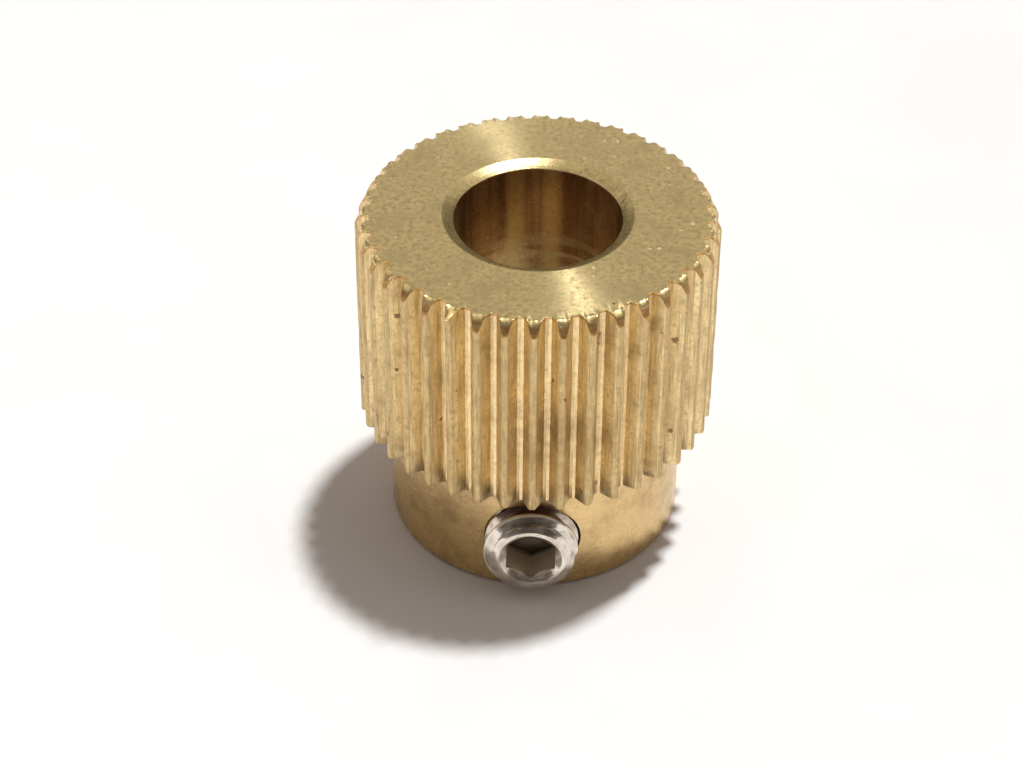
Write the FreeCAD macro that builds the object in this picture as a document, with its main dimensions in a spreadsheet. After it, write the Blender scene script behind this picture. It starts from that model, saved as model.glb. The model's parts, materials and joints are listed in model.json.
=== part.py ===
"""Extruder drive gear: a toothed brass wheel with a plain hub, held on a motor shaft by one set screw.

The frame has its origin on the bore's axis at the hub's end face, +Z towards the toothed end, and the
set screw on the -Y side. All sizes are millimetres and live in the spreadsheet "dims".
"""
import FreeCAD, Part
import math
import os

import Sketcher

DRIVING_DIMENSIONS = {
    # drive gear, overall
    "gear_height": 11.0,         # hub end face to toothed end face
    "tooth_length": 7.0,         # length of the toothed band
    "crest_radius": 5.5,         # outside of the teeth
    "root_radius": 5.05,         # floors of the grooves
    "hub_radius": 4.55,          # plain hub under the teeth
    "bore_radius": 2.525,        # sliding fit on a 5 mm motor shaft
    # teeth
    "tooth_count": 40,
    "tooth_phase": 0.4,          # degrees from the set screw's plane to the nearest crest
    "floor_width": 0.18,         # flat floor of a groove
    "crest_width": 0.18,         # land on top of a tooth
    # bevels on the turned edges
    "rim_bevel_radial": 0.25,    # round the toothed end
    "rim_bevel_axial": 0.50,
    "mouth_bevel_radial": 0.35,  # drill-point bevel at both ends of the bore
    "mouth_bevel_axial": 0.18,
    "foot_bevel": 0.12,          # round the hub's end face
    # set screw hole, through one wall of the hub
    "hole_height": 1.88,         # axis above the hub's end face
    "hole_radius": 1.52,
    # M3 set screw with a cup point
    "screw_radius": 1.44,
    "screw_length": 2.79,
    "tip_distance": 2.56,        # tip of the screw from the bore's axis, just clear of the shaft
    "cup_radius": 0.7,
    "cup_depth": 0.35,
    "head_bevel_radial": 0.38,   # wide and shallow, round the socket's end
    "head_bevel_axial": 0.24,
    "thread_pitch": 0.5,
    "thread_start": 0.465,       # where the groove stands above the tip, on the +X side
    "thread_depth": 0.27,
    "thread_root_width": 0.08,
    "thread_mouth_width": 0.40,
    "socket_across_flats": 1.5,
    "socket_depth": 1.25,
    "socket_cone_depth": 0.3,    # drilled cone under the hexagon
    "socket_mouth_radius": 0.94,
    "socket_mouth_depth": 0.20,
}
CUTTER_MARGIN = 0.2              # how far a cutting profile reaches past the surface it opens
SMALLEST_CUT = 1e-3              # cubic millimetres: a cut that removes less has missed
FULL_TURN = 360                  # degrees
Z_AXIS = FreeCAD.Vector(0, 0, 1)
SCREW_AXIS = FreeCAD.Vector(0, -1, 0)   # from the tip to the socket
START, END, CENTRE = 1, 2, 3            # the sketcher's numbers for the points of a line or circle
HORIZONTAL_AXIS, VERTICAL_AXIS = -1, -2  # and for the sketch's own axes

doc = FreeCAD.newDocument("extruder_gear")


def make_dimension_sheet():
    """Each row names a driving dimension in column A and holds its value, with that alias, in column B."""
    sheet = doc.addObject("Spreadsheet::Sheet", "dims")
    for row, (name, value) in enumerate(DRIVING_DIMENSIONS.items(), start=1):
        sheet.set(f"A{row}", name)
        sheet.set(f"B{row}", str(value))
        sheet.setAlias(f"B{row}", name)
    doc.recompute()
    return sheet


def make_body(label):
    body = doc.addObject("PartDesign::Body", label)
    body.Label = label
    return body


def origin_feature(body, role):
    """The body's own origin plane or axis that has that role, such as XY_Plane."""
    return next(feature for feature in body.Origin.OriginFeatures if feature.Role == role)


def make_sketch(body, name, plane_role):
    """An empty sketch on one of the body's own origin planes."""
    sketch = body.newObject("Sketcher::SketchObject", name)
    sketch.AttachmentSupport = (origin_feature(body, plane_role), [""])
    sketch.MapMode = "FlatFace"
    return sketch


def add_dimension(sketch, constraint, expression):
    """A dimension of the sketch whose value the expression drives."""
    index = sketch.addConstraint(constraint)
    sketch.setExpression(f"Constraints[{index}]", expression)


def place_point(sketch, geometry, point, x, y):
    """Fixes a point at the place the two expressions give, or on an axis where one of them is 0."""
    for kind, axis, expression in (
        ("DistanceX", VERTICAL_AXIS, x),
        ("DistanceY", HORIZONTAL_AXIS, y),
    ):
        if expression == "0":
            sketch.addConstraint(Sketcher.Constraint("PointOnObject", geometry, point, axis))
        else:
            distance = Sketcher.Constraint(kind, HORIZONTAL_AXIS, START, geometry, point, 1.0)
            add_dimension(sketch, distance, expression)


def add_polygon(sketch, corners):
    """A closed polygon. Each corner is a pair of expressions for its place in the sketch.

    It is drawn as a regular polygon, and its dimensions then pull it into shape.
    """
    step = 2 * math.pi / len(corners)
    rough = [
        FreeCAD.Vector(math.cos(step * index), math.sin(step * index), 0)
        for index in range(len(corners))
    ]
    sides = [
        sketch.addGeometry(Part.LineSegment(start, end))
        for start, end in zip(rough, rough[1:] + rough[:1])
    ]
    for side, following in zip(sides, sides[1:] + sides[:1]):
        sketch.addConstraint(Sketcher.Constraint("Coincident", side, END, following, START))
    for side, (x, y) in zip(sides, corners):
        place_point(sketch, side, START, x, y)


def add_circle(sketch, height, radius):
    """A circle on the sketch's vertical axis."""
    circle = sketch.addGeometry(Part.Circle(FreeCAD.Vector(0, 1, 0), Z_AXIS, 1.0))
    place_point(sketch, circle, CENTRE, "0", height)
    add_dimension(sketch, Sketcher.Constraint("Radius", circle, 1.0), radius)


def revolve(body, name, kind, sketch):
    """A full turn of the sketch about its own vertical axis. Kind is Revolution or Groove."""
    feature = body.newObject(f"PartDesign::{kind}", name)
    feature.Profile = sketch
    feature.ReferenceAxis = (sketch, ["V_Axis"])
    feature.Angle = FULL_TURN
    sketch.Visibility = False
    return feature


def check_cut(body, volume_before, name):
    doc.recompute()
    removed = volume_before - body.Shape.Volume
    if removed < SMALLEST_CUT:
        raise RuntimeError(f"{name} removed {removed:.4f} cubic millimetres")


def make_gear_blank(gear):
    """The turned blank: toothed band, hub, bore and their bevels."""
    profile = make_sketch(gear, "blank_profile", "XZ_Plane")
    bore_mouth = "dims.bore_radius + dims.mouth_bevel_radial"
    shoulder = "dims.gear_height - dims.tooth_length"
    add_polygon(profile, [
        ("dims.bore_radius", "dims.mouth_bevel_axial"),
        (bore_mouth, "0"),
        ("dims.hub_radius - dims.foot_bevel", "0"),
        ("dims.hub_radius", "dims.foot_bevel"),
        ("dims.hub_radius", shoulder),
        ("dims.crest_radius", shoulder),
        ("dims.crest_radius", "dims.gear_height - dims.rim_bevel_axial"),
        ("dims.crest_radius - dims.rim_bevel_radial", "dims.gear_height"),
        (bore_mouth, "dims.gear_height"),
        ("dims.bore_radius", "dims.gear_height - dims.mouth_bevel_axial"),
    ])
    revolve(gear, "blank", "Revolution", profile)
    doc.recompute()


def cut_teeth(gear):
    """One groove along the band, then a polar pattern of it. Their lands are the tooth crests."""
    half_floor = "dims.floor_width / 2"
    half_mouth = "(dims.crest_radius * sin(180 deg / dims.tooth_count) - dims.crest_width / 2)"
    flare = f"({half_mouth} - {half_floor}) / (dims.crest_radius - dims.root_radius)"
    half_cutter = f"{half_mouth} + {flare} * {CUTTER_MARGIN}"
    cutter_top = f"dims.crest_radius + {CUTTER_MARGIN}"
    profile = make_sketch(gear, "groove_profile", "XY_Plane")
    profile.AttachmentOffset = FreeCAD.Placement(FreeCAD.Vector(), FreeCAD.Rotation(Z_AXIS, 1))
    profile.setExpression(
        "AttachmentOffset.Rotation.Angle", "dims.tooth_phase + 180 / dims.tooth_count"
    )
    add_polygon(profile, [
        (f"-({half_floor})", "dims.root_radius"),
        (half_floor, "dims.root_radius"),
        (half_cutter, cutter_top),
        (f"-({half_cutter})", cutter_top),
    ])
    before = gear.Shape.Volume
    groove = gear.newObject("PartDesign::Pocket", "tooth_groove")
    groove.Profile = profile
    groove.Type = "ThroughAll"
    groove.Reversed = True
    profile.Visibility = False
    check_cut(gear, before, "tooth_groove")
    before = gear.Shape.Volume
    pattern = gear.newObject("PartDesign::PolarPattern", "tooth_grooves")
    pattern.Originals = [groove]
    pattern.Axis = (origin_feature(gear, "Z_Axis"), [""])
    pattern.Angle = FULL_TURN
    pattern.setExpression("Occurrences", "dims.tooth_count")
    gear.Tip = pattern
    check_cut(gear, before, "tooth_grooves")


def cut_screw_hole(gear):
    """The set screw's hole, from the bore out through the hub's wall on the -Y side."""
    profile = make_sketch(gear, "screw_hole_profile", "XZ_Plane")
    add_circle(profile, "dims.hole_height", "dims.hole_radius")
    before = gear.Shape.Volume
    hole = gear.newObject("PartDesign::Pocket", "screw_hole")
    hole.Profile = profile
    hole.Type = "ThroughAll"
    hole.Reversed = True
    profile.Visibility = False
    gear.Tip = hole
    check_cut(gear, before, "screw_hole")


def make_drive_gear():
    gear = make_body("drive_gear")
    make_gear_blank(gear)
    cut_teeth(gear)
    cut_screw_hole(gear)
    return gear


def make_screw_blank(screw):
    """The turned screw, drawn with its tip on the XY plane: cup, point cone, shank and bevelled head."""
    profile = make_sketch(screw, "shank_profile", "XZ_Plane")
    add_polygon(profile, [
        ("0", "dims.cup_depth"),
        ("dims.cup_radius", "0"),
        ("dims.screw_radius", "dims.screw_radius - dims.cup_radius"),
        ("dims.screw_radius", "dims.screw_length - dims.head_bevel_axial"),
        ("dims.screw_radius - dims.head_bevel_radial", "dims.screw_length"),
        ("0", "dims.screw_length"),
    ])
    revolve(screw, "shank", "Revolution", profile)
    doc.recompute()


def cut_socket(screw):
    """The hexagon, with a corner at the top, the drilled cone at its floor and the bevel at its mouth."""
    corner = "dims.socket_across_flats / sqrt(3)"
    flat = "dims.socket_across_flats / 2"
    profile = make_sketch(screw, "hexagon_profile", "XY_Plane")
    profile.setExpression("AttachmentOffset.Base.z", "dims.screw_length")
    add_polygon(profile, [
        ("0", corner),
        (f"-({flat})", f"{corner} / 2"),
        (f"-({flat})", f"-({corner} / 2)"),
        ("0", f"-({corner})"),
        (flat, f"-({corner} / 2)"),
        (flat, f"{corner} / 2"),
    ])
    before = screw.Shape.Volume
    hexagon = screw.newObject("PartDesign::Pocket", "socket_hexagon")
    hexagon.Profile = profile
    hexagon.setExpression("Length", "dims.socket_depth")
    profile.Visibility = False
    check_cut(screw, before, "socket_hexagon")

    floor = "dims.screw_length - dims.socket_depth"
    turned = make_sketch(screw, "socket_turned_profile", "XZ_Plane")
    add_polygon(turned, [
        ("0", f"{floor} - dims.socket_cone_depth"),
        (flat, floor),
        (flat, "dims.screw_length - dims.socket_mouth_depth"),
        ("dims.socket_mouth_radius", "dims.screw_length"),
        ("0", "dims.screw_length"),
    ])
    before = screw.Shape.Volume
    revolve(screw, "socket_turned", "Groove", turned)
    check_cut(screw, before, "socket_turned")


def cut_thread(screw):
    """A V groove on a helix that starts below the tip and ends above the head."""
    half_root = "dims.thread_root_width / 2"
    half_mouth = "dims.thread_mouth_width / 2"
    flare = f"({half_mouth} - {half_root}) / dims.thread_depth"
    half_cutter = f"({half_mouth} + {flare} * {CUTTER_MARGIN})"
    bottom = "dims.screw_radius - dims.thread_depth"
    cutter_top = f"dims.screw_radius + {CUTTER_MARGIN}"
    profile = make_sketch(screw, "thread_profile", "XZ_Plane")
    profile.setExpression("AttachmentOffset.Base.y", "dims.thread_start - 2 * dims.thread_pitch")
    add_polygon(profile, [
        (bottom, f"-({half_root})"),
        (cutter_top, f"-({half_cutter})"),
        (cutter_top, half_cutter),
        (bottom, half_root),
    ])
    before = screw.Shape.Volume
    thread = screw.newObject("PartDesign::SubtractiveHelix", "thread")
    thread.Profile = profile
    thread.ReferenceAxis = (profile, ["V_Axis"])
    thread.Mode = "pitch-height-angle"
    thread.setExpression("Pitch", "dims.thread_pitch")
    thread.setExpression("Height", "dims.screw_length + 3 * dims.thread_pitch")
    thread.Angle = 0
    profile.Visibility = False
    check_cut(screw, before, "thread")


def make_set_screw():
    screw = make_body("set_screw")
    make_screw_blank(screw)
    cut_socket(screw)
    cut_thread(screw)
    screw.Placement = FreeCAD.Placement(FreeCAD.Vector(), FreeCAD.Rotation(Z_AXIS, SCREW_AXIS))
    screw.setExpression("Placement.Base.y", "-dims.tip_distance")
    screw.setExpression("Placement.Base.z", "dims.hole_height")
    return screw


def check_document():
    """Stops if any object failed to build, which a recompute alone doesn't report."""
    failed = [o.Label for o in doc.Objects if {"Invalid", "Error"} & set(o.State)]
    if failed:
        raise RuntimeError(f"these objects failed to build: {failed}")


def write_parts(bodies):
    os.makedirs("parts", exist_ok=True)
    for body in bodies:
        shape = body.Shape
        if shape.isNull() or not shape.isValid() or not shape.Solids:
            raise RuntimeError(f"{body.Label} has no valid solid")
        shape.exportStep(f"parts/{body.Label}.step")
        print(f"{body.Label}: {len(shape.Solids)} solid, {shape.Volume:.2f} mm3, {shape.BoundBox}")


make_dimension_sheet()
bodies = [make_drive_gear(), make_set_screw()]
doc.recompute()
check_document()
write_parts(bodies)
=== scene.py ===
"""Looks for the extruder drive gear: a cut brass gear and its steel set screw, standing on white paper.

Both CAD parts are replaced by finer meshes of the same sizes. Only the set screw's hole differs: here it is
closer round the screw and has a thread. Meshes are drawn in millimetres and scaled to metres when they are
made.
"""
import json
import math
import random
from typing import NamedTuple

import bmesh
import bpy
import numpy as np
from mathutils import Matrix, Vector, noise


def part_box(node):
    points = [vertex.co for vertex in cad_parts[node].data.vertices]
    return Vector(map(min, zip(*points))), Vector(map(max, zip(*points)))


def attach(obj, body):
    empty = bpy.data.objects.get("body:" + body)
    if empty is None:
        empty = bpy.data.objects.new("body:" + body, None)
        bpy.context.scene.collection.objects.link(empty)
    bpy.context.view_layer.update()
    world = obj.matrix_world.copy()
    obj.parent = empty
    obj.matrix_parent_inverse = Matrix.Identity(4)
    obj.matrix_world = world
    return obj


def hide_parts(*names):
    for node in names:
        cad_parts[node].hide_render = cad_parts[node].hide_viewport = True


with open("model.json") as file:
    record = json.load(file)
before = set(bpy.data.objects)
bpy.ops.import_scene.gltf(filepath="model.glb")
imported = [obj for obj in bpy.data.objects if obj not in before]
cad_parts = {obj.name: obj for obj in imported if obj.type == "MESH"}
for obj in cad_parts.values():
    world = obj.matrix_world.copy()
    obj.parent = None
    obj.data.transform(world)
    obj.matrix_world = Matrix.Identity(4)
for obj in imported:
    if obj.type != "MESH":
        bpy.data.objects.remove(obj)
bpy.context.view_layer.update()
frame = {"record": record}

MM = 0.001
SEED = 7

# Sizes that the CAD frame gives, in millimetres
_, gear_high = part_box("drive_gear")
screw_low, screw_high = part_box("set_screw")
mounts = {mount["name"]: mount for mount in frame["record"]["mounts"]}
HEIGHT = gear_high.z / MM
CREST_RADIUS = gear_high.x / MM
BORE_RADIUS = mounts["shaft_bore"]["dims"]["r_mm"]
MOUTH_BEVEL_AXIAL = (HEIGHT - mounts["shaft_bore"]["dims"]["length_mm"]) / 2
SCREW_RADIUS = screw_high.x / MM
SCREW_LENGTH = (screw_high.y - screw_low.y) / MM
SCREW_TIP = -screw_high.y / MM
SCREW_HEIGHT = (screw_low.z + screw_high.z) / 2 / MM
SCREW_FACE = SCREW_TIP + SCREW_LENGTH

# Sizes of the gear that only its own shape shows, in millimetres
SHOULDER_HEIGHT = 4.0
ROOT_RADIUS = 5.05
HUB_RADIUS = 4.55
RIM_BEVEL_RADIAL = 0.25
RIM_BEVEL_AXIAL = 0.50
RIM_TOP_RADIUS = CREST_RADIUS - RIM_BEVEL_RADIAL
RIM_SOFTNESS = 0.035       # how softly the rim changes from the grooves' floor to its bevel
RIM_SMALLEST_DROP = 0.06   # of the rim below the end face, where a groove has cut its bevel away
MOUTH_BEVEL_RADIAL = 0.35
FOOT_BEVEL = 0.12

# The teeth
TOOTH_COUNT = 40
TOOTH_PHASE = math.radians(0.4)
FLOOR_WIDTH = 0.18
CREST_WIDTH = 0.18
LAND_REACH = 0.36          # of the crest's width, to each side of its middle
LAND_DROP = 0.004          # from the middle of the crest to the land's sides
FLANK_TOP_DROP = 0.015     # from the middle of the crest to the top of the flanks
FLANK_SHARES = (0.08, 0.22, 0.42, 0.62, 0.8, 0.93)   # places for columns, from foot to top
LAND_COLUMNS = 5           # with the land's finish: its own four, and the top one of the far flank
LARGEST_SHORTNESS = 0.02   # of any tooth
LARGEST_LEAN = 0.004       # of any tooth, in radians

# Wear and damage
WEAR_DEPTH = 0.018
WEAR_FINENESS = (9.0, 1.4)   # round the gear, and along it
WEAR_BIAS = 0.25             # the higher, the more of the crests is worn
WEAR_ENDS = (SHOULDER_HEIGHT - 0.01, HEIGHT - 0.1)   # heights between which they are worn
BURR_REACH = 0.14            # from the edge
BURR_LIFT = 0.008            # on the side that faces away from the set screw
BURR_LIFT_AT_SCREW = 0.08    # added on the set screw's side
BURR_FINENESS = 16
BURR_DETAIL = (2.5, 0.25)    # how much finer the smaller waves of the burr are, and their share
NOISE_SLICE = 0.2            # where the burr's waves are cut out of the noise
NEGLIGIBLE = 0.01            # the closeness to the edge, from 0 to 1, below which there is no burr
OUTWARD_SHARE = 0.5          # how far burrs and the chip go outwards, as a share of how far they go up
CHIP_ANGLE = math.radians(-116)
CHIP_WIDTH = 0.18            # from its middle to either side
CHIP_DEPTH = 0.5             # from the foot of the bevel down to the chip's end
CHIP_LIFT = 0.34             # at the crest

# The set screw's hole
HOLE_RADIUS = 1.46
HOLE_THREAD_DEPTH = 0.06
HOLE_THREAD_REACH = 0.35       # of the pitch, to each side of the middle of a thread's groove
HOLE_ENDS = (-1.2, -5.8)       # y of the cutter's ends
HOLE_STATIONS = 116
HOLE_COLUMNS = 48

# Sizes of the set screw, in millimetres
THREAD_PITCH = 0.5
THREAD_START = 0.465
THREAD_DEPTH = 0.27
THREAD_ROOT_WIDTH = 0.08
THREAD_MOUTH_WIDTH = 0.40
THREAD_STEP = 0.02             # between rings of the mesh
CUP_SHARES = (0.3, 0.6, 0.9)     # places for rings, from the middle of the cup to its edge
FACE_SHARES = (0.15, 0.5, 0.85)  # and from the edge of the face to the socket's mouth
WALL_SHARES = (0.35, 0.65, 1.0)  # and down the socket's wall
CUP_RADIUS = 0.7
CUP_DEPTH = 0.35
TIP_FLAT = 0.03
HEAD_BEVEL_RADIAL = 0.38
HEAD_BEVEL_AXIAL = 0.24
FACE_RADIUS = SCREW_RADIUS - HEAD_BEVEL_RADIAL
FACE_EDGE_DROP = 0.012         # where the face turns into the socket's mouth
HEX_FLAT = 0.75
SOCKET_DEPTH = 1.25
SOCKET_CONE_DEPTH = 0.3
SOCKET_MOUTH_RADIUS = 0.94
SOCKET_MOUTH_DEPTH = 0.20
SCREW_COLUMNS = 120

Z_AXIS = (0.0, 0.0, 1.0)
SCREW_AXIS = (0.0, -1.0, 0.0)

# Regions of the gear's surface, each with a finish of its own. A land is the top of a tooth. The edge is the
# burred rim of the end face, and the rim is the bevel outside it.
GEAR_REGIONS = ["floor", "flank", "land", "rim", "edge", "face", "mouth", "bore", "hub", "hole"]
GROOVE_REGIONS = ("floor", "flank", "land")


# ---------------------------------------------------------------- mesh tools

LARGEST_SETBACK = 0.45   # of a rounded corner, as a share of a side, so that two corners never meet
FLAT_FACE_WEIGHT = 80    # how far large faces decide the shading of their corners, up to 100


def grid_mesh(name, rings, closed):
    """A mesh from rings of points that each go once round. Closed joins the last ring to the first.

    Its faces are in order, ring after ring, each ring from its first column to its last.
    """
    count, columns, _ = rings.shape
    mesh = bpy.data.meshes.new(name)
    last = count if closed else count - 1
    faces = []
    for ring in range(last):
        lower = ring * columns
        upper = ((ring + 1) % count) * columns
        for column in range(columns):
            after = (column + 1) % columns
            faces.append((lower + column, lower + after, upper + after, upper + column))
    mesh.from_pydata((rings.reshape(-1, 3) * MM).tolist(), [], faces)
    return mesh


def clean(mesh, merge_distance=1e-3):
    """Merges points that fall together and turns every face outwards."""
    work = bmesh.new()
    work.from_mesh(mesh)
    bmesh.ops.remove_doubles(work, verts=work.verts, dist=merge_distance * MM)
    bmesh.ops.dissolve_degenerate(work, edges=work.edges, dist=merge_distance * MM / 10)
    bmesh.ops.recalc_face_normals(work, faces=work.faces)
    work.to_mesh(mesh)
    work.free()


def close_ends(mesh, columns):
    """Fills the open ends of a tube of so many columns and turns every face outwards."""
    work = bmesh.new()
    work.from_mesh(mesh)
    open_edges = [edge for edge in work.edges if edge.is_boundary]
    bmesh.ops.holes_fill(work, edges=open_edges, sides=columns)
    bmesh.ops.recalc_face_normals(work, faces=work.faces)
    work.to_mesh(mesh)
    work.free()


def add_object(name, data):
    added = bpy.data.objects.new(name, data)
    bpy.context.scene.collection.objects.link(added)
    return added


def add_piece(mesh, body, node):
    piece = add_object(mesh.name, mesh)
    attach(piece, body)
    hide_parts(node)
    return piece


def arc_points(before, corner, after, setback, count):
    """Points that round a corner of an outline, from setback before it to setback after it."""
    before, corner, after = (np.array(point, float) for point in (before, corner, after))
    towards = before - corner
    onwards = after - corner
    shorter = min(np.linalg.norm(towards), np.linalg.norm(onwards))
    reach = min(setback, LARGEST_SETBACK * shorter)
    start = corner + towards / np.linalg.norm(towards) * reach
    end = corner + onwards / np.linalg.norm(onwards) * reach
    steps = np.linspace(0, 1, count)[:, None]
    return (1 - steps) ** 2 * start + 2 * steps * (1 - steps) * corner + steps ** 2 * end


def bake_modifiers(piece):
    """Replaces the piece's mesh by what its modifiers make of it."""
    shown = piece.evaluated_get(bpy.context.evaluated_depsgraph_get())
    mesh = bpy.data.meshes.new_from_object(shown)
    piece.modifiers.clear()
    old = piece.data
    piece.data = mesh
    name = old.name
    bpy.data.meshes.remove(old)
    mesh.name = name


def shade(piece, sharp_angle):
    """Smooth shading that keeps edges over the angle sharp and large faces flat."""
    piece.data.shade_smooth()
    piece.data.set_sharp_from_angle(angle=math.radians(sharp_angle))
    flat = piece.modifiers.new("flat_faces", "WEIGHTED_NORMAL")
    flat.keep_sharp = True
    flat.weight = FLAT_FACE_WEIGHT
    bake_modifiers(piece)


# ---------------------------------------------------------------- the gear

def half_tooth():
    """From the middle of a groove to the middle of a crest, as (angle, radius) points."""
    pitch = 2 * math.pi / TOOTH_COUNT
    mouth = CREST_RADIUS * math.sin(pitch / 2) - CREST_WIDTH / 2
    foot = np.array((FLOOR_WIDTH / 2, ROOT_RADIUS))
    top = np.array((mouth, CREST_RADIUS - FLANK_TOP_DROP))
    flank = [foot + (top - foot) * share for share in FLANK_SHARES]
    outline = [(0.0, ROOT_RADIUS), tuple(foot)] + flank
    polar = [(math.atan2(across, out), math.hypot(across, out)) for across, out in outline]
    land = (pitch / 2 - CREST_WIDTH * LAND_REACH / CREST_RADIUS, CREST_RADIUS - LAND_DROP)
    return polar + [land, (pitch / 2, CREST_RADIUS)]


def gear_columns(dice):
    """Angle, outer radius and region of every column round the gear, each tooth a little different.

    A tooth's columns start at the middle of a groove. The finish of its far flank goes on over the floor, up
    to the middle of the next groove.
    """
    pitch = 2 * math.pi / TOOTH_COUNT
    half = half_tooth()
    side = ["flank"] * len(FLANK_SHARES)
    regions = ["floor", *side, *["land"] * LAND_COLUMNS, *side]
    columns = []
    for tooth in range(TOOTH_COUNT):
        groove = -math.pi / 2 + TOOTH_PHASE + (tooth - 0.5) * pitch
        lift = dice.uniform(-LARGEST_SHORTNESS, 0.0)
        lean = dice.uniform(-LARGEST_LEAN, LARGEST_LEAN)
        rising = [(groove + angle, radius) for angle, radius in half]
        falling = [(groove + pitch - angle, radius) for angle, radius in reversed(half[1:-1])]
        for (angle, radius), region in zip(rising + falling, regions):
            share = (radius - ROOT_RADIUS) / (CREST_RADIUS - ROOT_RADIUS)
            columns.append((angle + lean * share, radius + lift * share, region))
    return columns


def soft_minimum(first, second, softness):
    """The smaller of two lengths, with a rounded change from one to the other."""
    return -softness * math.log(math.exp(-first / softness) + math.exp(-second / softness))


class Corner(NamedTuple):
    """A corner of the gear's section, and the side that follows it."""
    radius: float
    height: float
    rounding: float
    arc_points: int
    side_points: int
    region: str            # "band" stands for the region of the column
    arc_region: str = ""   # of the first half of the rounded corner, where it differs


def gear_outline(outer):
    """Corners of the gear's section where the band's surface is at radius outer."""
    drop = (outer - RIM_TOP_RADIUS) * RIM_BEVEL_AXIAL / RIM_BEVEL_RADIAL
    rim_height = HEIGHT - max(drop, RIM_SMALLEST_DROP)
    rim_top = soft_minimum(outer, RIM_TOP_RADIUS, RIM_SOFTNESS)
    mouth = BORE_RADIUS + MOUTH_BEVEL_RADIAL
    return [
        Corner(HUB_RADIUS, SHOULDER_HEIGHT, 0.06, 3, 1, "flank"),
        Corner(outer, SHOULDER_HEIGHT, 0.03, 3, 32, "band"),
        Corner(outer, rim_height, 0.03, 3, 2, "rim"),
        Corner(rim_top, HEIGHT, 0.20, 7, 10, "face", "edge"),
        Corner(mouth, HEIGHT, 0.03, 3, 1, "mouth"),
        Corner(BORE_RADIUS, HEIGHT - MOUTH_BEVEL_AXIAL, 0.02, 3, 6, "bore"),
        Corner(BORE_RADIUS, MOUTH_BEVEL_AXIAL, 0.02, 3, 1, "mouth"),
        Corner(mouth, 0.0, 0.02, 3, 2, "face"),
        Corner(HUB_RADIUS - FOOT_BEVEL, 0.0, 0.03, 3, 1, "hub"),
        Corner(HUB_RADIUS, FOOT_BEVEL, 0.03, 3, 8, "hub"),
    ]


def outline_points(outline):
    """The rounded outline as (radius, height) points, with the region of each."""
    size = len(outline)
    arcs = []
    for index, corner in enumerate(outline):
        before = outline[index - 1][:2]
        after = outline[(index + 1) % size][:2]
        arcs.append(arc_points(before, corner[:2], after, corner.rounding, corner.arc_points))
    points, regions = [], []
    for index, corner in enumerate(outline):
        arc, following = arcs[index], arcs[(index + 1) % size]
        shares = np.linspace(0, 1, corner.side_points + 2)[1:-1, None]
        side = arc[-1] + (following[0] - arc[-1]) * shares
        points += [*arc, *side]
        first_half = len(arc) // 2 + 1
        regions += [corner.arc_region or corner.region] * first_half
        regions += [corner.region] * (len(arc) - first_half + len(side))
    return np.array(points), regions


def burr(radius, height, angle):
    """How far the turned edge round the toothed end stands proud or is worn back at a place.

    It is rougher on the set screw's side.
    """
    closeness = math.exp(-((radius - RIM_TOP_RADIUS) / BURR_REACH) ** 2)
    closeness *= math.exp(-((height - HEIGHT) / BURR_REACH) ** 2)
    if closeness < NEGLIGIBLE:
        return 0.0
    facing_screw = 0.5 - 0.5 * math.sin(angle)
    lift = BURR_LIFT + BURR_LIFT_AT_SCREW * facing_screw ** 3
    place = Vector((math.cos(angle), math.sin(angle), NOISE_SLICE)) * BURR_FINENESS
    finer, share = BURR_DETAIL
    return closeness * lift * (noise.noise(place) + share * noise.noise(place * finer))


def distance_from_chip(angle):
    """Distance round the crests from the middle of the chip."""
    return abs(math.remainder(angle - CHIP_ANGLE, 2 * math.pi)) * CREST_RADIUS


def chip(radius, height, angle):
    """How far the bit of brass that is pushed up over one tooth's bevel lifts a place."""
    share = (radius - RIM_TOP_RADIUS) / RIM_BEVEL_RADIAL
    below = max(0.0, (HEIGHT - RIM_BEVEL_AXIAL - height) / CHIP_DEPTH)
    if share <= 0 or below > 1:
        return 0.0
    across = distance_from_chip(angle) / CHIP_WIDTH
    return CHIP_LIFT * share * (1 - below) * math.exp(-across ** 4)


def wear(radius, height, angle):
    """How far the tooth crests are worn back at a place, as a change of radius."""
    lowest, highest = WEAR_ENDS
    if height > highest or height < lowest:
        return 0.0
    share = max(0.0, (radius - ROOT_RADIUS) / (CREST_RADIUS - ROOT_RADIUS))
    round_gear, along_gear = WEAR_FINENESS
    place = Vector((math.cos(angle) * round_gear, math.sin(angle) * round_gear, height * along_gear))
    return -WEAR_DEPTH * share ** 3 * max(0.0, noise.noise(place) + WEAR_BIAS)


def region_at(region, angle, column_region):
    """Region of one face, from that of its ring and that of its column."""
    if region == "band":
        return column_region
    if region == "rim" and distance_from_chip(angle) < CHIP_WIDTH:
        return "edge"
    return region


def gear_rings(dice):
    """Points of the gear's mesh, ring by ring, and the number of each face's region."""
    columns = gear_columns(dice)
    rings = None
    for column, (angle, outer, _) in enumerate(columns):
        points, regions = outline_points(gear_outline(outer))
        if rings is None:
            rings = np.zeros((len(points), len(columns), 3))
        for ring, (radius, height) in enumerate(points):
            lift = burr(radius, height, angle) + chip(radius, height, angle)
            out = radius + OUTWARD_SHARE * lift + wear(radius, height, angle)
            rings[ring, column] = (out * math.cos(angle), out * math.sin(angle), height + lift)
    numbers = [
        [GEAR_REGIONS.index(region_at(region, angle, own)) for angle, _, own in columns]
        for region in regions
    ]
    return rings, numbers


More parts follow.
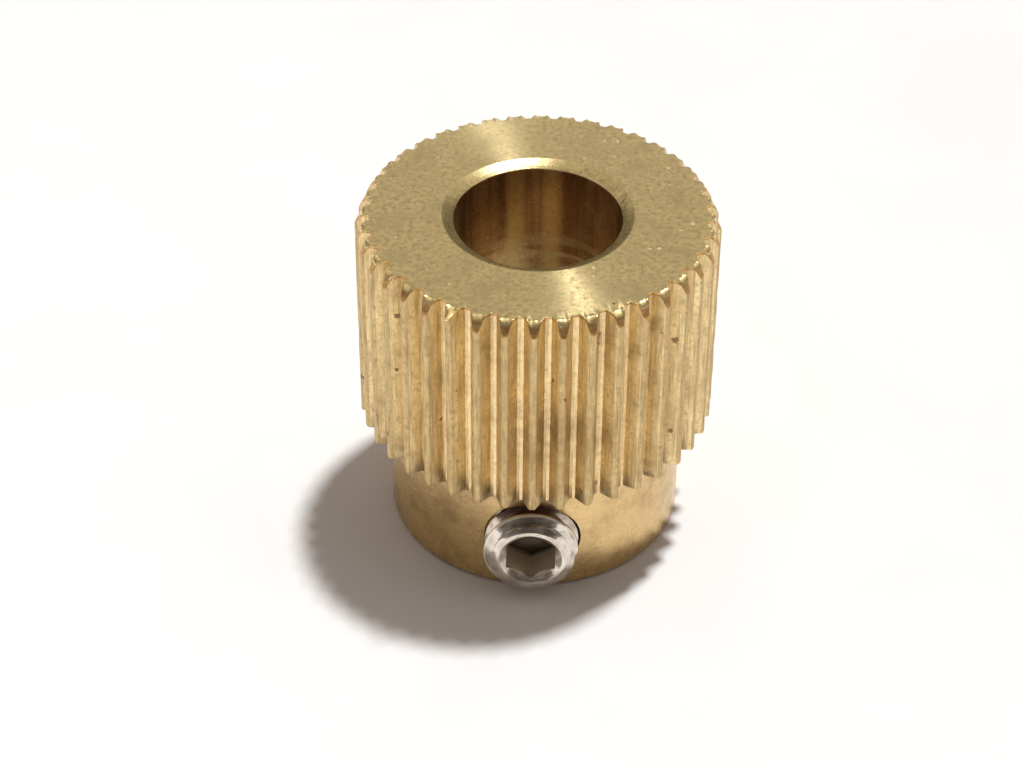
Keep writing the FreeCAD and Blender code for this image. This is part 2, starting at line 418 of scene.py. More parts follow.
def hole_cutter():
    """A bar along the set screw's axis whose surface carries the crests that cut the hole's thread."""
    stations = np.linspace(*HOLE_ENDS, HOLE_STATIONS)
    rings = np.zeros((HOLE_STATIONS, HOLE_COLUMNS, 3))
    for ring, y in enumerate(stations):
        for column in range(HOLE_COLUMNS):
            turn = column / HOLE_COLUMNS
            phase = ((-y - SCREW_TIP - THREAD_START) / THREAD_PITCH - turn) % 1.0
            ridge = max(0.0, 1 - abs(phase - 0.5) / HOLE_THREAD_REACH)
            radius = HOLE_RADIUS + HOLE_THREAD_DEPTH * ridge
            across = radius * math.cos(2 * math.pi * turn)
            up = radius * math.sin(2 * math.pi * turn)
            rings[ring, column] = (across, y, SCREW_HEIGHT + up)
    mesh = grid_mesh("hole_cutter", rings, closed=False)
    close_ends(mesh, HOLE_COLUMNS)
    for _ in GEAR_REGIONS:
        mesh.materials.append(None)
    mesh.polygons.foreach_set(
        "material_index", [GEAR_REGIONS.index("hole")] * len(mesh.polygons)
    )
    return add_object("hole_cutter", mesh)


def make_gear():
    rings, numbers = gear_rings(random.Random(SEED))
    mesh = grid_mesh("drive_gear_brass", rings, closed=True)
    for region in GEAR_REGIONS:
        mesh.materials.append(brass_material(region))
    mesh.polygons.foreach_set("material_index", np.ravel(numbers))
    clean(mesh)
    gear = add_piece(mesh, "gear", "drive_gear")
    cutter = hole_cutter()
    cut = gear.modifiers.new("screw_hole", "BOOLEAN")
    cut.operation = "DIFFERENCE"
    cut.solver = "EXACT"
    cut.object = cutter
    bake_modifiers(gear)
    bpy.data.objects.remove(cutter)
    shade(gear, sharp_angle=40)


# ---------------------------------------------------------------- the set screw

def thread_radius(along, turn):
    """Radius of the thread at a distance along the screw and a share of a turn round it."""
    phase = ((along - THREAD_START) / THREAD_PITCH - turn + 0.5) % 1.0
    off = abs(phase - 0.5) * THREAD_PITCH
    slope = (THREAD_MOUTH_WIDTH - THREAD_ROOT_WIDTH) / 2
    depth = THREAD_DEPTH * min(1.0, max(0.0, (THREAD_MOUTH_WIDTH / 2 - off) / slope))
    return SCREW_RADIUS - depth


def level_loop(radius, along):
    return [(radius, along)] * SCREW_COLUMNS


def outer_loops(turns):
    """From the middle of the cup out to its edge, and over the thread to the edge of the face."""
    loops = [level_loop(0.0, CUP_DEPTH)]
    loops += [level_loop(CUP_RADIUS * share, CUP_DEPTH * (1 - share)) for share in CUP_SHARES]
    for along in np.arange(0.0, SCREW_LENGTH, THREAD_STEP):
        tip_cone = CUP_RADIUS + TIP_FLAT + along
        head_cone = FACE_RADIUS + (SCREW_LENGTH - along) * HEAD_BEVEL_RADIAL / HEAD_BEVEL_AXIAL
        loops.append([
            (min(thread_radius(along, turn), tip_cone, head_cone), along) for turn in turns
        ])
    return loops


def socket_loops(turns):
    """Over the face, into the hexagon socket and down to the middle of its floor."""
    side = math.pi / 3
    hexagon = [
        HEX_FLAT / math.cos((turn * 2 * math.pi + side / 2) % side - side / 2) for turn in turns
    ]
    mouth_slope = SOCKET_MOUTH_DEPTH / (SOCKET_MOUTH_RADIUS - HEX_FLAT)
    wall_top = SCREW_LENGTH - SOCKET_MOUTH_DEPTH
    floor = SCREW_LENGTH - SOCKET_DEPTH
    face_width = SOCKET_MOUTH_RADIUS - FACE_RADIUS
    loops = [level_loop(FACE_RADIUS + face_width * share, SCREW_LENGTH) for share in FACE_SHARES]
    loops.append(level_loop(SOCKET_MOUTH_RADIUS, SCREW_LENGTH - FACE_EDGE_DROP))
    loops.append([
        (radius, SCREW_LENGTH - (SOCKET_MOUTH_RADIUS - radius) * mouth_slope) for radius in hexagon
    ])
    for share in WALL_SHARES:
        loops.append([(radius, wall_top + (floor - wall_top) * share) for radius in hexagon])
    loops.append(level_loop(HEX_FLAT, floor))
    loops.append(level_loop(HEX_FLAT / 2, floor - SOCKET_CONE_DEPTH / 2))
    loops.append(level_loop(0.0, floor - SOCKET_CONE_DEPTH))
    return loops


def make_screw():
    turns = [column / SCREW_COLUMNS for column in range(SCREW_COLUMNS)]
    loops = outer_loops(turns) + socket_loops(turns)
    rings = np.zeros((len(loops), SCREW_COLUMNS, 3))
    for ring, loop in enumerate(loops):
        for column, (radius, along) in enumerate(loop):
            angle = 2 * math.pi * turns[column]
            across = radius * math.cos(angle)
            up = radius * math.sin(angle)
            rings[ring, column] = (across, -SCREW_TIP - along, SCREW_HEIGHT + up)
    mesh = grid_mesh("set_screw_steel", rings, closed=False)
    mesh.materials.append(steel_material())
    clean(mesh)
    screw = add_piece(mesh, "screw", "set_screw")
    shade(screw, sharp_angle=24)


# ---------------------------------------------------------------- shader tools

# Numbers of the Mix node's sockets for colours: it has several of the same name
MIX_FACTOR, MIX_FIRST, MIX_SECOND = 0, 6, 7
MIX_RESULT = 2

# Edges of specks: how much finer than the specks their waves are, and how far they change a speck's reach
EDGE_FINENESS = 5
EDGE_LIMITS = (0.3, 0.7)
EDGE_SHARES = (0.6, 1.4)


def add_node(tree, kind, inputs=None, **settings):
    """Adds a shader node. Each input is a plain value or the output of another node."""
    made = tree.nodes.new("ShaderNode" + kind)
    for name, value in settings.items():
        setattr(made, name, value)
    for name, value in (inputs or {}).items():
        if isinstance(value, bpy.types.NodeSocket):
            tree.links.new(value, made.inputs[name])
        else:
            made.inputs[name].default_value = value
    return made


def maths(tree, operation, first, second=0.0):
    return add_node(tree, "Math", {0: first, 1: second}, operation=operation).outputs[0]


def product(tree, first, second):
    return maths(tree, "MULTIPLY", first, second)


def larger(tree, first, second):
    return maths(tree, "MAXIMUM", first, second)


def vector_maths(tree, operation, first, second=(0.0, 0.0, 0.0)):
    made = add_node(tree, "VectorMath", {0: first, 1: second}, operation=operation)
    return made.outputs["Value" if operation in ("DOT_PRODUCT", "LENGTH") else "Vector"]


def normalized(tree, vector):
    return vector_maths(tree, "NORMALIZE", vector)


def length(tree, vector):
    return vector_maths(tree, "LENGTH", vector)


def scaled(tree, vector, factor):
    return add_node(tree, "VectorMath", {0: vector, "Scale": factor}, operation="SCALE").outputs[0]


def noise_value(tree, place, scale, detail=3.0, roughness=0.5):
    made = add_node(
        tree, "TexNoise",
        {"Vector": place, "Scale": scale, "Detail": detail, "Roughness": roughness},
    )
    return made.outputs[0]


def remap(tree, value, low, high, to_low=0.0, to_high=1.0):
    made = add_node(
        tree, "MapRange",
        {"Value": value, "From Min": low, "From Max": high, "To Min": to_low, "To Max": to_high},
    )
    return made.outputs[0]


def mix_colour(tree, factor, first, second):
    """Goes from the first colour to the second as the factor, a node's output, goes from 0 to 1.

    Each colour is a node's output or three plain numbers.
    """
    made = add_node(tree, "Mix", data_type="RGBA")
    tree.links.new(factor, made.inputs[MIX_FACTOR])
    for socket, colour in ((made.inputs[MIX_FIRST], first), (made.inputs[MIX_SECOND], second)):
        if isinstance(colour, bpy.types.NodeSocket):
            tree.links.new(colour, socket)
        else:
            socket.default_value = (*colour, 1)
    return made.outputs[MIX_RESULT]


def bump(tree, height, depth, normal=None):
    """A normal tilted by a height that is worth depth millimetres."""
    inputs = {"Height": height, "Strength": 1.0, "Distance": depth * MM}
    if normal:
        inputs["Normal"] = normal
    return add_node(tree, "Bump", inputs).outputs[0]


def new_material(name):
    material = bpy.data.materials.new(name)
    material.use_nodes = True
    material.node_tree.nodes.clear()
    return material, material.node_tree


class Place(NamedTuple):
    """Where a shaded point is, seen from an axis, in millimetres: each part is a node's output."""
    point: bpy.types.NodeSocket
    radial: bpy.types.NodeSocket
    along: bpy.types.NodeSocket


def axis_place(tree, centre, axis):
    coordinates = add_node(tree, "TexCoord").outputs["Object"]
    offset = vector_maths(tree, "SUBTRACT", coordinates, tuple(c * MM for c in centre))
    point = scaled(tree, offset, 1 / MM)
    along = vector_maths(tree, "DOT_PRODUCT", point, axis)
    radial = vector_maths(tree, "SUBTRACT", point, scaled(tree, axis, along))
    return Place(point, radial, along)


def hoop_place(tree, place, fineness, spread):
    """Texture place whose features run round the axis: fine across the marks and long along them."""
    parts = add_node(tree, "SeparateXYZ", {0: scaled(tree, normalized(tree, place.radial), spread)})
    across = maths(tree, "ADD", length(tree, place.radial), place.along)
    flat = maths(tree, "ADD", parts.outputs[1], parts.outputs[2])
    joined = add_node(
        tree, "CombineXYZ", {0: parts.outputs[0], 1: flat, 2: product(tree, across, fineness)}
    )
    return joined.outputs[0]


def specks(tree, point, per_mm, size, share):
    """1 inside scattered dots, 0 elsewhere. Share is how many of the cells hold a dot."""
    cells = add_node(tree, "TexVoronoi", {"Vector": point, "Scale": per_mm, "Randomness": 1.0})
    parts = add_node(tree, "SeparateColor", {0: cells.outputs["Color"]})
    chosen = maths(tree, "LESS_THAN", parts.outputs[0], share)
    reach = product(tree, parts.outputs[1], size)
    waves = noise_value(tree, point, per_mm * EDGE_FINENESS)
    ragged = remap(tree, waves, *EDGE_LIMITS, *EDGE_SHARES)
    distance = product(tree, cells.outputs["Distance"], ragged)
    return product(tree, chosen, maths(tree, "LESS_THAN", distance, reach))


def metal_surface(tree, haze_share, haze_roughness, inputs):
    """Metal whose reflection is partly clear and partly spread wide."""
    clear = add_node(tree, "BsdfPrincipled", inputs)
    spread = add_node(
        tree, "BsdfPrincipled", {**inputs, "Roughness": haze_roughness, "Anisotropic": 0.0}
    )
    return add_node(tree, "MixShader", {0: haze_share, 1: clear.outputs[0], 2: spread.outputs[0]})


def show_surface(tree, surface):
    add_node(tree, "OutputMaterial", {"Surface": surface.outputs[0]})


# ---------------------------------------------------------------- brass

class Finish(NamedTuple):
    """How one region of the gear is finished."""
    name: str
    marks: str           # "hoop" for turned surfaces, "axial" for those cut along the gear's axis
    mark_density: tuple  # tool marks per millimetre across them, and along them
    clean: tuple         # colour of the bare metal
    stained: tuple       # colour where it is stained
    blotches: float      # how strong the large stains are, 0 to 1
    grain: float         # and the small ones
    streaks: float       # and those that follow the tool marks
    dirt_share: float    # share of the places for a speck that hold one
    roughness: float
    anisotropy: float
    lean: float          # how far the marks' outer sides face outwards
    haze: tuple          # share of the reflection that is spread wide, and its roughness
    mark_depth: float    # millimetres


# Colour of specks of dirt, and of the painted shade where the grooves end at the shoulder
DIRT_AND_SHADE = (0.16, 0.085, 0.03)
BRIGHT = (0.96, 0.86, 0.60)
# Colour of the painted glints on the bore's far wall
GLINT_GOLD = (1.0, 0.78, 0.42)
BROWN = (0.37, 0.255, 0.12)
FINISHES = {
    "floor": Finish("brass_groove_floor", "axial", (7.0, 1.6), (1.00, 0.80, 0.45), (0.60, 0.39, 0.19),
                    0.9, 0.7, 0.7, 0.04, 0.24, 0.2, 0.0, (0.25, 0.55), 0.004),
    "flank": Finish("brass_groove_flank", "axial", (10.0, 0.6), (0.97, 0.775, 0.42), BROWN,
                    0.9, 0.6, 0.7, 0.24, 0.36, 0.3, 0.0, (0.35, 0.55), 0.010),
    "land": Finish("brass_tooth_land", "axial", (14.0, 1.2), (0.70, 0.53, 0.26), BROWN,
                   0.8, 0.8, 0.9, 0.30, 0.34, 0.3, 0.0, (0.30, 0.55), 0.012),
    "rim": Finish("brass_rim_bevel", "hoop", (8.0, 2.5), (0.72, 0.44, 0.17), (0.32, 0.17, 0.06),
                  0.9, 0.8, 0.3, 0.14, 0.34, 0.2, 0.0, (0.20, 0.55), 0.020),
    "edge": Finish("brass_burred_edge", "hoop", (8.0, 5.0), (1.00, 0.83, 0.42), (0.66, 0.46, 0.19),
                   0.8, 0.8, 0.3, 0.04, 0.26, 0.2, 0.0, (0.30, 0.55), 0.014),
    "face": Finish("brass_turned_face", "hoop", (12.0, 3.0), (0.68, 0.57, 0.315), (0.42, 0.35, 0.19),
                   0.7, 0.8, 0.2, 0.06, 0.39, 1.0, 0.09, (0.885, 1.0), 0.002),
    "mouth": Finish("brass_bore_mouth", "hoop", (12.0, 3.0), (0.78, 0.67, 0.33), (0.36, 0.27, 0.12),
                    0.9, 0.9, 0.5, 0.08, 0.24, 0.3, 0.0, (0.14, 1.0), 0.008),
    "bore": Finish("brass_bore_wall", "axial", (1.3, 0.05), (0.80, 0.57, 0.34), (0.30, 0.17, 0.08),
                   0.3, 0.0, 0.8, 0.0, 0.30, 0.5, 0.0, (0.1, 0.55), 0.001),
    "hub": Finish("brass_hub", "hoop", (10.0, 1.5), (0.78, 0.57, 0.275), (0.47, 0.31, 0.145),
                  0.9, 0.20, 0.2, 0.02, 0.24, 0.3, 0.0, (0.2, 0.55), 0.003),
    "hole": Finish("brass_screw_hole", "axial", (6.0, 1.0), (0.95, 0.70, 0.38), BROWN,
                   0.4, 0.4, 0.0, 0.10, 0.35, 0.0, 0.0, (0.0, 0.55), 0.004),
}

# Noise: waves per millimetre, and the limits between which a stain or painted shade goes from none to full
BLOTCH_FINENESS = 0.9
BLOTCH_LIMITS = (0.42, 0.70)
GRAIN_FINENESS = 6.0
GRAIN_LIMITS = (0.40, 0.66)
STREAK_LIMITS = (0.40, 0.63)
GROOVE_SHADE_FINENESS = 1.3
GROOVE_SHADE_LIMITS = (0.38, 0.50)
SMUDGE_AND_SHADE_FINENESS = 2.2
SMUDGE_AND_SHADE_LIMITS = (0.35, 0.60)
SMUDGE_AND_SHADE_SHARES = (0.2, 1.0)
BORE_SCRATCH_LIMITS = (0.40, 0.55)
ROUGHNESS_LIMITS = (0.3, 0.7)
ROUGHNESS_SHARES = (0.75, 1.3)   # of a finish's roughness
GRAIN_HEIGHT = 0.6               # of the grain and of the dirt and painted shade, as a share of the tool marks'

# Specks: cells per millimetre, and the largest reach of a speck in cells
DIRT_SPECKS = (2.2, 0.22)
NICK_SPECKS = (3.1, 0.20)
NICK_SHARE = 0.35
# How strongly the dirt specks and the painted shade at the grooves' ends darken the brass
DIRT_AND_SHADE_STRENGTH = 0.75
NICK_STRENGTH = 0.6

# Where the painted shade at the grooves' ends and the darker patch over the front teeth lie, in millimetres:
# full at the first limit, gone at the second
GROOVE_SHADE_HEIGHTS = (SHOULDER_HEIGHT + 0.15, SHOULDER_HEIGHT + 0.6)
GROOVE_SHADE_RADII = (ROOT_RADIUS + 0.12, ROOT_RADIUS + 0.36)
# A darker patch over the front teeth, partly a smudge and partly painted dark reflection
SMUDGE_AND_SHADE_PLACE = (0.6, -5.5, 6.5)
SMUDGE_AND_SHADE_REACH = (0.4, 2.0)
SMUDGE_AND_SHADE_STRENGTH = 0.8

# The bore's painted glints, in strips along it, and its scratches
BORE_PAINTED_GLINTS = (math.radians(-17), math.radians(8))   # from +Y towards +X
BORE_GLINT_EDGE = (0.990, 0.999)   # cosines of how far a strip reaches: faded out, and full
BORE_SCRATCH_HEIGHTS = (7.5, 8.9)   # full below the first, gone above the second
BORE_SCRATCH_DENSITY = (3.2, 1.2)
BORE_GLINT_AND_SCRATCH_STRENGTH = 0.9


def groove_shade_and_smudge(tree, place):
    """Painted shade where the grooves end at the shoulder, and a darker patch over the teeth above the set
    screw, partly smudge and partly painted dark reflection.
    """
    low = remap(tree, place.along, *GROOVE_SHADE_HEIGHTS, 1.0, 0.0)
    deep = remap(tree, length(tree, place.radial), *GROOVE_SHADE_RADII, 1.0, 0.0)
    patchy = remap(tree, noise_value(tree, place.point, GROOVE_SHADE_FINENESS), *GROOVE_SHADE_LIMITS)
    groove_shade = product(tree, product(tree, low, deep), patchy)
    away = length(tree, vector_maths(tree, "SUBTRACT", place.point, SMUDGE_AND_SHADE_PLACE))
    near = remap(tree, away, *SMUDGE_AND_SHADE_REACH, 1.0, 0.0)
    waves = noise_value(tree, place.point, SMUDGE_AND_SHADE_FINENESS)
    ragged = remap(tree, waves, *SMUDGE_AND_SHADE_LIMITS, *SMUDGE_AND_SHADE_SHARES)
    return groove_shade, product(tree, near, ragged)


def bore_glints_and_scratches(tree, place):
    """Where the bore takes painted glints in strips along it, and where it is scratched in rings round its
    lower part.
    """
    outwards = normalized(tree, place.radial)
    painted_glints = 0.0
    for turned in BORE_PAINTED_GLINTS:
        towards = (math.sin(turned), math.cos(turned), 0.0)
        facing = vector_maths(tree, "DOT_PRODUCT", outwards, towards)
        painted_glints = larger(tree, painted_glints, remap(tree, facing, *BORE_GLINT_EDGE))
    rings = noise_value(tree, hoop_place(tree, place, *BORE_SCRATCH_DENSITY), 1.0)
    low = remap(tree, place.along, *BORE_SCRATCH_HEIGHTS, 1.0, 0.0)
    return painted_glints, product(tree, remap(tree, rings, *BORE_SCRATCH_LIMITS), low)


def tool_marks(tree, finish, place):
    """Texture place that follows the tool marks, and the direction in which they run."""
    across_marks, along_marks = finish.mark_density
    if finish.marks == "hoop":
        texture_place = hoop_place(tree, place, across_marks, along_marks)
        return texture_place, vector_maths(tree, "CROSS_PRODUCT", Z_AXIS, place.radial)
    density = (across_marks, across_marks, along_marks)
    return vector_maths(tree, "MULTIPLY", place.point, density), Z_AXIS


def marked_normal(tree, finish, place, mark_direction):
    """The surface's normal, leaning outwards with the tool marks, and the tangent across them."""
    surface_normal = add_node(tree, "NewGeometry").outputs["Normal"]
    outwards = scaled(tree, normalized(tree, place.radial), finish.lean)
    normal = normalized(tree, vector_maths(tree, "ADD", surface_normal, outwards))
    tangent = normalized(tree, vector_maths(tree, "CROSS_PRODUCT", mark_direction, normal))
    return normal, tangent


def stained_brass(tree, finish, place, scratches, grain):
    """Colour of the brass with its stains, before any special marks."""
    blotches = noise_value(tree, place.point, BLOTCH_FINENESS, detail=6.0, roughness=0.72)
    blotched = remap(tree, blotches, *BLOTCH_LIMITS, 0.0, finish.blotches)
    grainy = remap(tree, grain, *GRAIN_LIMITS, 0.0, finish.grain)
    streaked = remap(tree, scratches, *STREAK_LIMITS, 0.0, finish.streaks)
    stain = larger(tree, blotched, larger(tree, grainy, streaked))
    return mix_colour(tree, stain, finish.clean, finish.stained)


def marked_brass(tree, region, place, colour):
    """The colour with the marks that only this region has, painted glints in the bore among them, with its
    dirt and the painted shade at the grooves' ends, and where the dirt and shade are.
    """
    dirt_and_shade = specks(tree, place.point, *DIRT_SPECKS, FINISHES[region].dirt_share)
    if region in GROOVE_REGIONS:
        # Painted shade where the grooves end at the shoulder, and a darker patch over the front teeth
        groove_shade, smudge_and_shade = groove_shade_and_smudge(tree, place)
        # The darker patch over the front teeth is partly a smudge and partly painted dark reflection
        colour = mix_colour(tree, product(tree, smudge_and_shade, SMUDGE_AND_SHADE_STRENGTH), colour, BROWN)
        # The painted shade at the grooves' ends darkens flanks and lands as the dirt does
        if region != "floor":
            dirt_and_shade = larger(tree, dirt_and_shade, groove_shade)
    if region == "bore":
        painted_glints, rings = bore_glints_and_scratches(tree, place)
        # Painted glints in strips down the bore's far wall
        colour = mix_colour(tree, product(tree, painted_glints, BORE_GLINT_AND_SCRATCH_STRENGTH), colour, GLINT_GOLD)
        colour = mix_colour(tree, product(tree, rings, BORE_GLINT_AND_SCRATCH_STRENGTH), colour, BRIGHT)
    if region == "face":
        nicks = specks(tree, place.point, *NICK_SPECKS, NICK_SHARE)
        colour = mix_colour(tree, product(tree, nicks, NICK_STRENGTH), colour, BRIGHT)
    return mix_colour(tree, product(tree, dirt_and_shade, DIRT_AND_SHADE_STRENGTH), colour, DIRT_AND_SHADE), dirt_and_shade


def brass_material(region):
    """Cut brass: marks of the tool, stains that partly follow them, fine grain, specks of dirt, painted
    shade where the grooves end and painted glints in the bore.
    """
    finish = FINISHES[region]
    material, tree = new_material(finish.name)
    place = axis_place(tree, (0, 0, 0), Z_AXIS)
    texture_place, mark_direction = tool_marks(tree, finish, place)
    normal, tangent = marked_normal(tree, finish, place, mark_direction)
    scratches = noise_value(tree, texture_place, 1.0, detail=4.0, roughness=0.65)
    grain = noise_value(tree, place.point, GRAIN_FINENESS, detail=4.0, roughness=0.7)
    colour = stained_brass(tree, finish, place, scratches, grain)
    colour, dirt_and_shade = marked_brass(tree, region, place, colour)
    height = maths(tree, "ADD", scratches, product(tree, grain, GRAIN_HEIGHT))
    height = maths(tree, "SUBTRACT", height, product(tree, dirt_and_shade, GRAIN_HEIGHT))
    smoothest, roughest = (share * finish.roughness for share in ROUGHNESS_SHARES)
    surface = metal_surface(tree, *finish.haze, {
        "Base Color": colour,
        "Metallic": 1.0,
        "Roughness": remap(tree, grain, *ROUGHNESS_LIMITS, smoothest, roughest),
        "Anisotropic": finish.anisotropy,
        "Tangent": tangent,
        "Normal": bump(tree, height, finish.mark_depth, normal),
    })
    show_surface(tree, surface)
    return material


# ---------------------------------------------------------------- steel and paper

PLATING = (0.86, 0.81, 0.72)
PLATING_STAIN = (0.36, 0.27, 0.20)
SOCKET_WALL = (0.80, 0.72, 0.58)
# Darker colour towards the floor of the socket
SOCKET_FLOOR_DARK = (0.14, 0.11, 0.08)
# Colour of the painted brown reflection of the brass, on top of the rear thread under the teeth
THREAD_PAINTED_REFLECTION = (0.24, 0.11, 0.07)
# Colour of the painted highlight along the front thread crests
CREST_PAINTED_HIGHLIGHT = (1.0, 0.96, 0.86)
SOCKET_FLOOR_DARK_STRENGTH = 0.85
THREAD_REFLECTION_STRENGTH = 0.8
CREST_HIGHLIGHT_STRENGTH = 0.9

# Depths behind the screw's face, in millimetres
SOCKET_WALL_DEPTHS = (0.10, 0.25)    # where its colour starts, and where it is full
SOCKET_FLOOR_DEPTHS = (1.0, 1.2)
THREAD_REFLECTION_DEPTHS = (0.42, 0.52)
THREAD_REFLECTION_RISE = (0.7, 1.2)               # height over the screw's axis
CREST_HIGHLIGHT_RADII = (SCREW_RADIUS - 0.06, SCREW_RADIUS - 0.02)
CREST_HAZE = 0.6                     # as a share of the socket's
STEEL_HAZE = (0.22, 0.85)            # outside, and in the socket
STEEL_HAZE_ROUGHNESS = 0.8
STEEL_ROUGHNESS = (0.10, 0.22)
STEEL_MARKS = (20.0, 3.0)            # tool marks per millimetre across them, and along them
STEEL_MARK_LIMITS = (0.50, 0.68)
STEEL_MARK_STAIN = 0.8
STEEL_MARK_DEPTH = 0.004
STEEL_STAIN_FINENESS = 1.3
STEEL_STAIN_LIMITS = (0.45, 0.70)
STEEL_STAIN = 0.7
STEEL_GRAIN_FINENESS = 7.0
STEEL_GRAIN_HEIGHT = 0.8             # as a share of the tool marks'

PAPER_DARKER = (0.80, 0.80, 0.80)
PAPER_LIGHTER = (0.83, 0.83, 0.83)
PAPER_FINENESS = 0.15
PAPER_LIMITS = (0.3, 0.7)
PAPER_ROUGHNESS = 0.6


def behind_face(tree, place, depths):
    """0 from the screw's face down to the first depth, 1 from the second depth on."""
    start, full = depths
    return remap(tree, place.along, SCREW_FACE - start, SCREW_FACE - full)


def socket_shares(tree, place):
    """How far a place belongs to the socket, and to its floor, which is coloured darker."""
    inside = maths(tree, "LESS_THAN", length(tree, place.radial), SOCKET_MOUTH_RADIUS)
    socket = product(tree, inside, behind_face(tree, place, SOCKET_WALL_DEPTHS))
    floor = product(tree, inside, behind_face(tree, place, SOCKET_FLOOR_DEPTHS))
    return socket, floor


def thread_shares(tree, place):
    """How far a place takes the painted brown reflection of the brass, on top of the rear thread, and how
    far the painted highlight, on the front crests.
    """
    rear = behind_face(tree, place, THREAD_REFLECTION_DEPTHS)
    rise = vector_maths(tree, "DOT_PRODUCT", place.radial, Z_AXIS)
    thread_reflection = product(tree, rear, remap(tree, rise, *THREAD_REFLECTION_RISE))
    proud = remap(tree, length(tree, place.radial), *CREST_HIGHLIGHT_RADII, 0.0, CREST_HIGHLIGHT_STRENGTH)
    crest_highlight = product(tree, proud, maths(tree, "SUBTRACT", 1.0, rear))
    return thread_reflection, crest_highlight


def steel_material():
    """Bright nickel plating over a turned steel screw, stained, with a painted brown reflection of the brass
    on top of the rear thread, painted highlights on the front crests, and darker towards the socket's floor.
    """
    material, tree = new_material("nickel_plated_steel")
    place = axis_place(tree, (0, 0, SCREW_HEIGHT), SCREW_AXIS)
    marks = noise_value(tree, hoop_place(tree, place, *STEEL_MARKS), 1.0)
    stains = noise_value(tree, place.point, STEEL_STAIN_FINENESS, detail=4.0)
    blotched = remap(tree, stains, *STEEL_STAIN_LIMITS, 0.0, STEEL_STAIN)
    stained = larger(tree, blotched, remap(tree, marks, *STEEL_MARK_LIMITS, 0.0, STEEL_MARK_STAIN))
    socket, floor = socket_shares(tree, place)
    thread_reflection, crest_highlight = thread_shares(tree, place)
    colour = mix_colour(tree, stained, PLATING, PLATING_STAIN)
    colour = mix_colour(tree, socket, colour, SOCKET_WALL)
    # Darker towards the socket's floor
    colour = mix_colour(tree, product(tree, floor, SOCKET_FLOOR_DARK_STRENGTH), colour, SOCKET_FLOOR_DARK)
    # Painted brown reflection of the brass on top of the rear thread
    colour = mix_colour(tree, product(tree, thread_reflection, THREAD_REFLECTION_STRENGTH), colour, THREAD_PAINTED_REFLECTION)
    # Painted highlight along the front thread crests
    colour = mix_colour(tree, crest_highlight, colour, CREST_PAINTED_HIGHLIGHT)
    spread = larger(tree, socket, product(tree, crest_highlight, CREST_HAZE))
    grain = noise_value(tree, place.point, STEEL_GRAIN_FINENESS)
    height = maths(tree, "ADD", marks, product(tree, grain, STEEL_GRAIN_HEIGHT))
    haze_share = remap(tree, spread, 0.0, 1.0, *STEEL_HAZE)
    surface = metal_surface(tree, haze_share, STEEL_HAZE_ROUGHNESS, {
        "Base Color": colour,
        "Metallic": 1.0,
        "Roughness": remap(tree, stains, *ROUGHNESS_LIMITS, *STEEL_ROUGHNESS),
        "Normal": bump(tree, height, STEEL_MARK_DEPTH),
    })
    show_surface(tree, surface)
    return material


def paper_material():
    material, tree = new_material("white_paper")
    point = scaled(tree, add_node(tree, "TexCoord").outputs["Object"], 1 / MM)
    unevenness = remap(tree, noise_value(tree, point, PAPER_FINENESS), *PAPER_LIMITS)
    colour = mix_colour(tree, unevenness, PAPER_DARKER, PAPER_LIGHTER)
    show_surface(tree, add_node(tree, "BsdfDiffuse", {"Color": colour, "Roughness": PAPER_ROUGHNESS}))
    return material


# ---------------------------------------------------------------- stage, light and camera

PAPER_RADIUS = 1.5                     # metres

CAMERA_PLACE = (1.16, -66.42, 59.01)   # millimetres
CAMERA_YAW = math.radians(-1.673)      # from +Y towards +X
CAMERA_PITCH = math.radians(39.42)     # downwards
CAMERA_ROLL = math.radians(0.321)
LENS = 96.64                           # millimetres, as the sensor
SENSOR = 36.0
CLIP = (0.001, 10.0)                   # metres: the nearest and farthest that the camera sees

LIGHT_DIRECTION = (0.193, 0.198, 1.0)  # towards the light
LIGHT_STRENGTH = 3.45
LIGHT_ANGLE = math.radians(4.8)
AMBIENT = (1.0, 0.87, 0.78)
AMBIENT_STRENGTH = 0.64
LOW_AMBIENT = 0.18                     # share of it that comes from near the horizon
LOW_EDGE = (0.36, 0.60)                # sines of the heights between which it grows to full
SHADED_SIDE = 0.18                     # how bright the ambient light is behind the camera
SHADED_EDGE = (0.62, 0.95)             # cosines of where that shade starts, and is full
BACKDROP_STRENGTH = 1.2                # of the white that the camera sees past the paper


def make_paper():
    """A round sheet, far wider than any view of the gear."""
    work = bmesh.new()
    bmesh.ops.create_circle(work, cap_ends=True, segments=96, radius=PAPER_RADIUS)
    mesh = bpy.data.meshes.new("paper")
    work.to_mesh(mesh)
    work.free()
    mesh.materials.append(paper_material())
    add_object("paper", mesh)


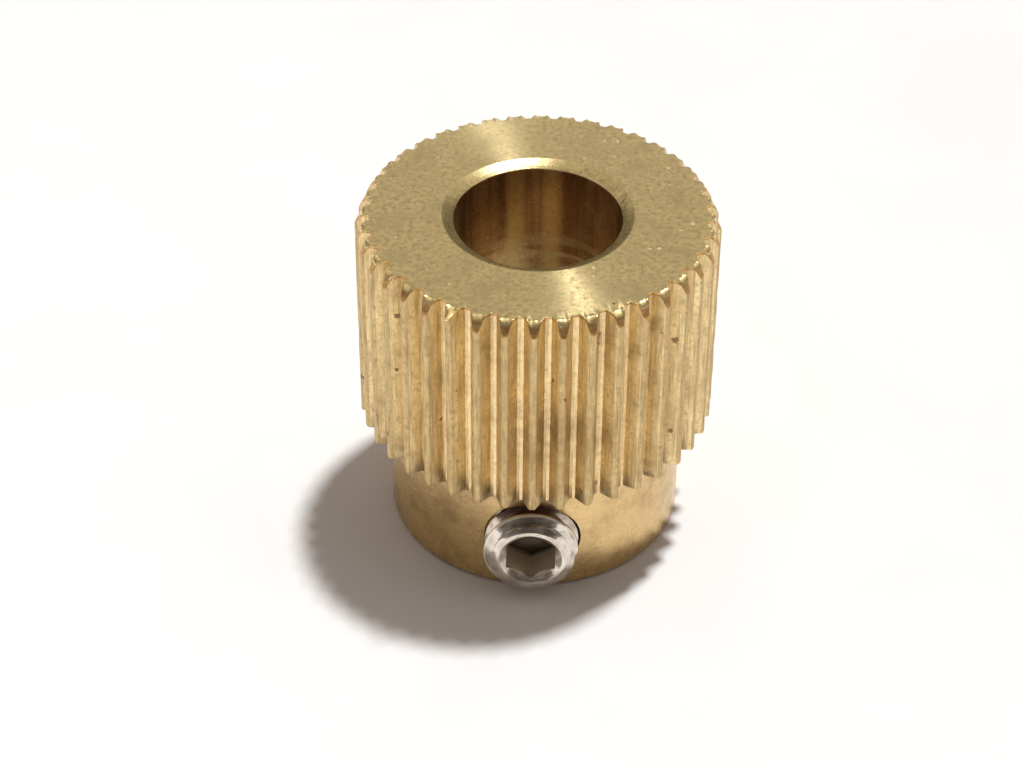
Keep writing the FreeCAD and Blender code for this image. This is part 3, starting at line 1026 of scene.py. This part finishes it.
def camera_axes():
    """The camera's right, up and forward directions."""
    forward = Vector((
        math.sin(CAMERA_YAW) * math.cos(CAMERA_PITCH),
        math.cos(CAMERA_YAW) * math.cos(CAMERA_PITCH),
        -math.sin(CAMERA_PITCH),
    ))
    level = forward.cross(Vector(Z_AXIS)).normalized()
    upright = level.cross(forward)
    right = level * math.cos(CAMERA_ROLL) + upright * math.sin(CAMERA_ROLL)
    up = upright * math.cos(CAMERA_ROLL) - level * math.sin(CAMERA_ROLL)
    return right, up, forward


def make_camera():
    right, up, forward = camera_axes()
    data = bpy.data.cameras.new("camera")
    data.lens = LENS
    data.sensor_width = SENSOR
    data.clip_start, data.clip_end = CLIP
    camera = add_object("camera", data)
    turn = Matrix((right, up, -forward)).transposed().to_4x4()
    camera.matrix_world = Matrix.Translation(Vector(CAMERA_PLACE) * MM) @ turn
    bpy.context.scene.camera = camera


def make_light():
    data = bpy.data.lights.new("key_light", "SUN")
    data.energy = LIGHT_STRENGTH
    data.angle = LIGHT_ANGLE
    light = add_object("key_light", data)
    light.rotation_mode = "QUATERNION"
    light.rotation_quaternion = Vector(LIGHT_DIRECTION).to_track_quat("Z", "Y")


def make_world():
    """Soft warm light from all round, darker where whoever holds the camera stands in its way."""
    world = bpy.data.worlds.new("room")
    world.use_nodes = True
    tree = world.node_tree
    tree.nodes.clear()
    direction = add_node(tree, "TexCoord").outputs["Generated"]
    _, _, forward = camera_axes()
    towards_camera = vector_maths(tree, "DOT_PRODUCT", direction, tuple(-forward))
    unshaded = remap(tree, towards_camera, *SHADED_EDGE, 1.0, SHADED_SIDE)
    upwards = vector_maths(tree, "DOT_PRODUCT", direction, Z_AXIS)
    risen = remap(tree, upwards, *LOW_EDGE, LOW_AMBIENT, 1.0)
    strength = product(tree, product(tree, unshaded, risen), AMBIENT_STRENGTH)
    room = add_node(tree, "Background", {"Color": (*AMBIENT, 1), "Strength": strength})
    backdrop = add_node(tree, "Background", {"Color": (1, 1, 1, 1), "Strength": BACKDROP_STRENGTH})
    seen = add_node(tree, "LightPath").outputs["Is Camera Ray"]
    both = add_node(tree, "MixShader", {0: seen, 1: room.outputs[0], 2: backdrop.outputs[0]})
    add_node(tree, "OutputWorld", {"Surface": both.outputs[0]})
    bpy.context.scene.world = world


make_gear()
make_screw()
make_paper()
make_light()
make_world()
make_camera()
bpy.context.scene.view_settings.view_transform = "Standard"
